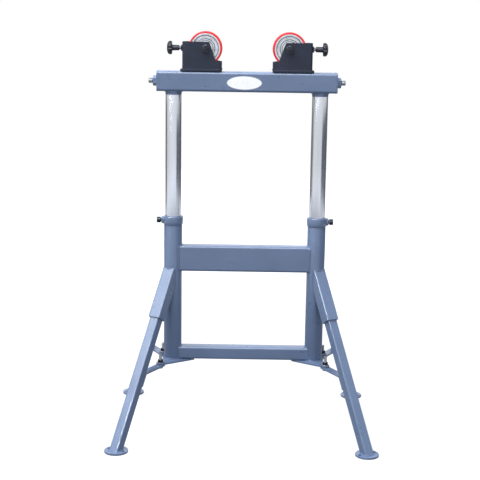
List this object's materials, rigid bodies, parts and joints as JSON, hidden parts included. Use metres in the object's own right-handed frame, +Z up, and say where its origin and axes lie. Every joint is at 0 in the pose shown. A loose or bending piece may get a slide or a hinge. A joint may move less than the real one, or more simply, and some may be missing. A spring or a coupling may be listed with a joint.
{
  "type": "pipe roller support stand",
  "caption": "Floor stand that carries a pipe on braked urethane rollers, on a beam whose posts telescope in a splay-legged frame.",
  "frame": {"origin": "on the floor, midway between the feet", "axes": "+Z up along the posts, +X along the top beam, -Y is the front with the axle nuts"},
  "size_m": [0.808, 0.616, 1.218],
  "materials": {
    "frame_paint": "gloss blue-grey paint",
    "chrome": "hard chrome",
    "zinc": "zinc plate",
    "dark_steel": "black oxide",
    "black_coat": "black powder coat",
    "tread": "red urethane",
    "cast_core": "silver casting",
    "knob_plastic": "black moulding",
    "brass": "turned"
  },
  "bodies": {
    "frame": {"outer_tube_l": "frame_paint", "outer_tube_r": "frame_paint", "collar_l": "frame_paint", "collar_r": "frame_paint", "mid_bar": "frame_paint", "low_bar": "frame_paint", "gusset_l": "frame_paint", "gusset_r": "frame_paint", "socket_fl": "frame_paint", "socket_fr": "frame_paint", "socket_bl": "frame_paint", "socket_br": "frame_paint", "leg_fl": "frame_paint", "leg_fr": "frame_paint", "leg_bl": "frame_paint", "leg_br": "frame_paint", "foot_fl": "frame_paint", "foot_fr": "frame_paint", "foot_bl": "frame_paint", "foot_br": "frame_paint", "brace_fl": "frame_paint", "brace_fr": "frame_paint", "brace_bl": "frame_paint", "brace_br": "frame_paint", "brace_bolts": "dark_steel", "brace_nuts": "dark_steel", "brace_washers": "dark_steel", "lock_nuts": "frame_paint"},
    "head": {"beam": "frame_paint", "end_plate_l": "frame_paint", "end_plate_r": "frame_paint", "post_l": "chrome", "post_r": "chrome", "set_studs": "zinc", "set_nuts": "frame_paint", "bracket_base_l": "black_coat", "bracket_base_r": "black_coat", "bracket_shell_l": "black_coat", "bracket_shell_r": "black_coat", "bracket_lip_l": "black_coat", "bracket_lip_r": "black_coat", "axle_bolts": "dark_steel", "axle_nuts": "dark_steel", "axle_washers": "dark_steel", "axle_sleeves": "zinc", "brake_nuts": "black_coat"},
    "roller_l": {"tread_l": "tread", "core_l": "cast_core", "bearings_l": "zinc"},
    "brake_pad_l": {"brake_pad_l": "dark_steel"},
    "brake_knob_l": {"brake_knob_l": "knob_plastic"},
    "lock_pad_l": {"lock_pad_l": "brass"},
    "lock_bolt_l": {"lock_bolt_l": "dark_steel"},
    "roller_r": {"tread_r": "tread", "core_r": "cast_core", "bearings_r": "zinc"},
    "brake_pad_r": {"brake_pad_r": "dark_steel"},
    "brake_knob_r": {"brake_knob_r": "knob_plastic"},
    "lock_pad_r": {"lock_pad_r": "brass"},
    "lock_bolt_r": {"lock_bolt_r": "dark_steel"}
  },
  "joints": [
    {"name": "height_slide", "type": "slide", "parent": "frame", "child": "head", "axis": [0, 0, 1], "range_m": [-0.3, 0.04]},
    {"name": "roller_spin_l", "type": "hinge", "parent": "head", "child": "roller_l", "pos_m": [-0.125, 0, 1.168], "axis": [0, 1, 0], "continuous": true},
    {"name": "brake_feed_l", "type": "slide", "parent": "head", "child": "brake_pad_l", "axis": [1, 0, 0], "range_m": [0, 0.0035]},
    {"name": "brake_turn_l", "type": "hinge", "parent": "brake_pad_l", "child": "brake_knob_l", "pos_m": [-0.215, 0, 1.168], "axis": [1, 0, 0], "range_deg": [0, 842]},
    {"name": "lock_feed_l", "type": "slide", "parent": "frame", "child": "lock_pad_l", "axis": [-1, 0, 0], "range_m": [0, 0.0035]},
    {"name": "lock_turn_l", "type": "hinge", "parent": "lock_pad_l", "child": "lock_bolt_l", "pos_m": [-0.26, 0, 0.647], "axis": [-1, 0, 0], "range_deg": [0, 722]},
    {"name": "roller_spin_r", "type": "hinge", "parent": "head", "child": "roller_r", "pos_m": [0.125, 0, 1.168], "axis": [0, 1, 0], "continuous": true},
    {"name": "brake_feed_r", "type": "slide", "parent": "head", "child": "brake_pad_r", "axis": [-1, 0, 0], "range_m": [0, 0.0035]},
    {"name": "brake_turn_r", "type": "hinge", "parent": "brake_pad_r", "child": "brake_knob_r", "pos_m": [0.215, 0, 1.168], "axis": [-1, 0, 0], "range_deg": [0, 842]},
    {"name": "lock_feed_r", "type": "slide", "parent": "frame", "child": "lock_pad_r", "axis": [1, 0, 0], "range_m": [0, 0.0035]},
    {"name": "lock_turn_r", "type": "hinge", "parent": "lock_pad_r", "child": "lock_bolt_r", "pos_m": [0.26, 0, 0.647], "axis": [1, 0, 0], "range_deg": [0, 722]}
  ],
  "couplings": [
    {"joint": "brake_turn_l", "follows": "brake_feed_l", "rad_per_m": 4188.8},
    {"joint": "lock_turn_l", "follows": "lock_feed_l", "rad_per_m": 3590.4},
    {"joint": "brake_turn_r", "follows": "brake_feed_r", "rad_per_m": 4188.8},
    {"joint": "lock_turn_r", "follows": "lock_feed_r", "rad_per_m": 3590.4}
  ]
}
